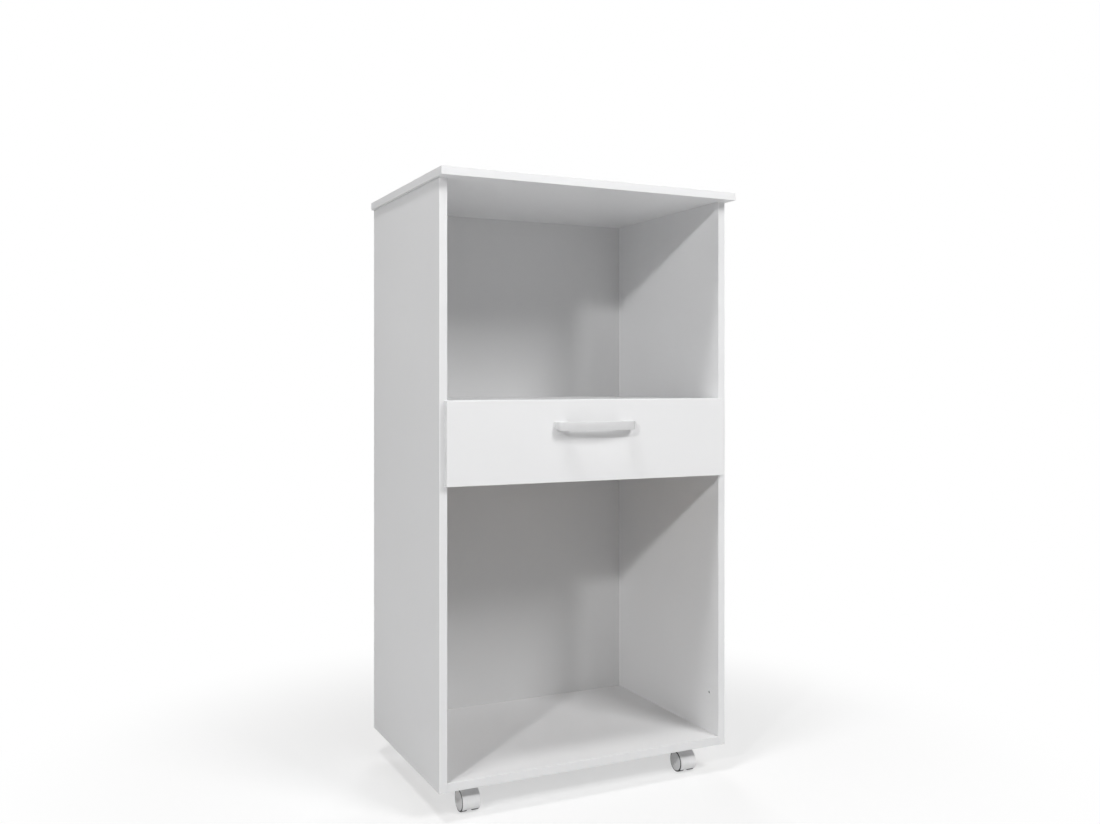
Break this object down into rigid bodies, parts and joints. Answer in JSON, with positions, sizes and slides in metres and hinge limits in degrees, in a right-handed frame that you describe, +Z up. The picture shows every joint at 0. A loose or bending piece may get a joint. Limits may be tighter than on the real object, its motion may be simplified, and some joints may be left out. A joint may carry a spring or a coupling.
{
  "type": "microwave stand with drawer",
  "caption": "White stand on casters: overhanging top, open niche for a microwave oven, shallow drawer with a bow handle, and a tall open compartment below.",
  "frame": {"origin": "middle of the bounding box's footprint, on the floor that the wheels stand on", "axes": "+Z up, front and drawer handle towards -Y, +X to the right of someone facing the front"},
  "size_m": [0.612, 0.4402, 1.1475],
  "materials": {
    "white_board": "chipboard faced with smooth white melamine, edges banded in white",
    "white_hardboard": "thin hardboard with a white lacquered face",
    "drawer_board": "chipboard faced with smooth white melamine",
    "wood_dowel": "fluted beech",
    "zinc_fastener": "bright zinc plate",
    "cam_metal": "die-cast zinc",
    "white_cap": "moulded white plastic",
    "runner_paint": "white epoxy coat",
    "roller_nylon": "natural nylon",
    "handle_grey": "satin light grey",
    "caster_plastic": "moulded off-white plastic",
    "caster_wheel": "moulded off-white wheel with a dark grey tread",
    "caster_steel": "zinc-plated sheet"
  },
  "bodies": {
    "cabinet": {"top_panel": "white_board", "left_side_panel": "white_board", "right_side_panel": "white_board", "bottom_panel": "white_board", "microwave_shelf": "white_board", "back_panel": "white_hardboard", "back_panel_nails": "zinc_fastener", "top_screws": "zinc_fastener", "screw_cover_caps": "white_cap", "shelf_cam_locks": "cam_metal", "shelf_cam_bolts": "zinc_fastener", "bottom_cam_locks": "cam_metal", "bottom_cam_bolts": "zinc_fastener", "carcass_dowels": "wood_dowel", "left_cabinet_runner": "runner_paint", "right_cabinet_runner": "runner_paint", "cabinet_roller_pins": "zinc_fastener", "cabinet_runner_screws": "zinc_fastener", "caster_kingpins": "caster_steel", "caster_screws": "zinc_fastener", "front_left_caster_plate": "caster_steel", "front_right_caster_plate": "caster_steel", "rear_left_caster_plate": "caster_steel", "rear_right_caster_plate": "caster_steel"},
    "drawer": {"drawer_front": "drawer_board", "drawer_left_side": "drawer_board", "drawer_right_side": "drawer_board", "drawer_back": "drawer_board", "drawer_bottom": "white_hardboard", "drawer_handle": "handle_grey", "handle_screws": "zinc_fastener", "drawer_cam_locks": "cam_metal", "drawer_cam_bolts": "zinc_fastener", "drawer_back_screws": "zinc_fastener", "drawer_bottom_nails": "zinc_fastener", "left_drawer_runner": "runner_paint", "right_drawer_runner": "runner_paint", "drawer_runner_screws": "zinc_fastener", "drawer_roller_pins": "zinc_fastener"},
    "left_cabinet_roller": {"left_cabinet_roller": "roller_nylon"},
    "left_drawer_roller": {"left_drawer_roller": "roller_nylon"},
    "right_cabinet_roller": {"right_cabinet_roller": "roller_nylon"},
    "right_drawer_roller": {"right_drawer_roller": "roller_nylon"},
    "front_left_caster": {"front_left_caster_hood": "caster_plastic", "front_left_caster_axle": "caster_steel"},
    "front_left_wheel_a": {"front_left_caster_wheel_a": "caster_wheel"},
    "front_left_wheel_b": {"front_left_caster_wheel_b": "caster_wheel"},
    "front_right_caster": {"front_right_caster_hood": "caster_plastic", "front_right_caster_axle": "caster_steel"},
    "front_right_wheel_a": {"front_right_caster_wheel_a": "caster_wheel"},
    "front_right_wheel_b": {"front_right_caster_wheel_b": "caster_wheel"},
    "rear_left_caster": {"rear_left_caster_hood": "caster_plastic", "rear_left_caster_axle": "caster_steel"},
    "rear_left_wheel_a": {"rear_left_caster_wheel_a": "caster_wheel"},
    "rear_left_wheel_b": {"rear_left_caster_wheel_b": "caster_wheel"},
    "rear_right_caster": {"rear_right_caster_hood": "caster_plastic", "rear_right_caster_axle": "caster_steel"},
    "rear_right_wheel_a": {"rear_right_caster_wheel_a": "caster_wheel"},
    "rear_right_wheel_b": {"rear_right_caster_wheel_b": "caster_wheel"}
  },
  "joints": [
    {"name": "drawer_slide", "type": "slide", "parent": "cabinet", "child": "drawer", "axis": [0, -1, 0], "range_m": [0, 0.26]},
    {"name": "left_cabinet_roller_turn", "type": "hinge", "parent": "cabinet", "child": "left_cabinet_roller", "pos_m": [-0.279, -0.16885, 0.6132], "axis": [1, 0, 0], "continuous": true},
    {"name": "left_drawer_roller_turn", "type": "hinge", "parent": "drawer", "child": "left_drawer_roller", "pos_m": [-0.2785, 0.15815, 0.6132], "axis": [1, 0, 0], "continuous": true},
    {"name": "right_cabinet_roller_turn", "type": "hinge", "parent": "cabinet", "child": "right_cabinet_roller", "pos_m": [0.279, -0.16885, 0.6132], "axis": [1, 0, 0], "continuous": true},
    {"name": "right_drawer_roller_turn", "type": "hinge", "parent": "drawer", "child": "right_drawer_roller", "pos_m": [0.2785, 0.15815, 0.6132], "axis": [1, 0, 0], "continuous": true},
    {"name": "front_left_swivel", "type": "hinge", "parent": "cabinet", "child": "front_left_caster", "pos_m": [-0.23, -0.12085, 0.0455], "axis": [0, 0, 1], "continuous": true},
    {"name": "front_left_wheel_a_roll", "type": "hinge", "parent": "front_left_caster", "child": "front_left_wheel_a", "pos_m": [-0.23, -0.13885, 0.02], "axis": [1, 0, 0], "continuous": true},
    {"name": "front_left_wheel_b_roll", "type": "hinge", "parent": "front_left_caster", "child": "front_left_wheel_b", "pos_m": [-0.23, -0.13885, 0.02], "axis": [1, 0, 0], "continuous": true},
    {"name": "front_right_swivel", "type": "hinge", "parent": "cabinet", "child": "front_right_caster", "pos_m": [0.23, -0.12085, 0.0455], "axis": [0, 0, 1], "continuous": true},
    {"name": "front_right_wheel_a_roll", "type": "hinge", "parent": "front_right_caster", "child": "front_right_wheel_a", "pos_m": [0.23, -0.13885, 0.02], "axis": [1, 0, 0], "continuous": true},
    {"name": "front_right_wheel_b_roll", "type": "hinge", "parent": "front_right_caster", "child": "front_right_wheel_b", "pos_m": [0.23, -0.13885, 0.02], "axis": [1, 0, 0], "continuous": true},
    {"name": "rear_left_swivel", "type": "hinge", "parent": "cabinet", "child": "rear_left_caster", "pos_m": [-0.23, 0.15515, 0.0455], "axis": [0, 0, 1], "continuous": true},
    {"name": "rear_left_wheel_a_roll", "type": "hinge", "parent": "rear_left_caster", "child": "rear_left_wheel_a", "pos_m": [-0.23, 0.13715, 0.02], "axis": [1, 0, 0], "continuous": true},
    {"name": "rear_left_wheel_b_roll", "type": "hinge", "parent": "rear_left_caster", "child": "rear_left_wheel_b", "pos_m": [-0.23, 0.13715, 0.02], "axis": [1, 0, 0], "continuous": true},
    {"name": "rear_right_swivel", "type": "hinge", "parent": "cabinet", "child": "rear_right_caster", "pos_m": [0.23, 0.15515, 0.0455], "axis": [0, 0, 1], "continuous": true},
    {"name": "rear_right_wheel_a_roll", "type": "hinge", "parent": "rear_right_caster", "child": "rear_right_wheel_a", "pos_m": [0.23, 0.13715, 0.02], "axis": [1, 0, 0], "continuous": true},
    {"name": "rear_right_wheel_b_roll", "type": "hinge", "parent": "rear_right_caster", "child": "rear_right_wheel_b", "pos_m": [0.23, 0.13715, 0.02], "axis": [1, 0, 0], "continuous": true}
  ],
  "couplings": [
    {"joint": "left_cabinet_roller_turn", "follows": "drawer_slide", "rad_per_m": 117.65},
    {"joint": "left_drawer_roller_turn", "follows": "drawer_slide", "rad_per_m": 117.65},
    {"joint": "right_cabinet_roller_turn", "follows": "drawer_slide", "rad_per_m": 117.65},
    {"joint": "right_drawer_roller_turn", "follows": "drawer_slide", "rad_per_m": 117.65}
  ]
}
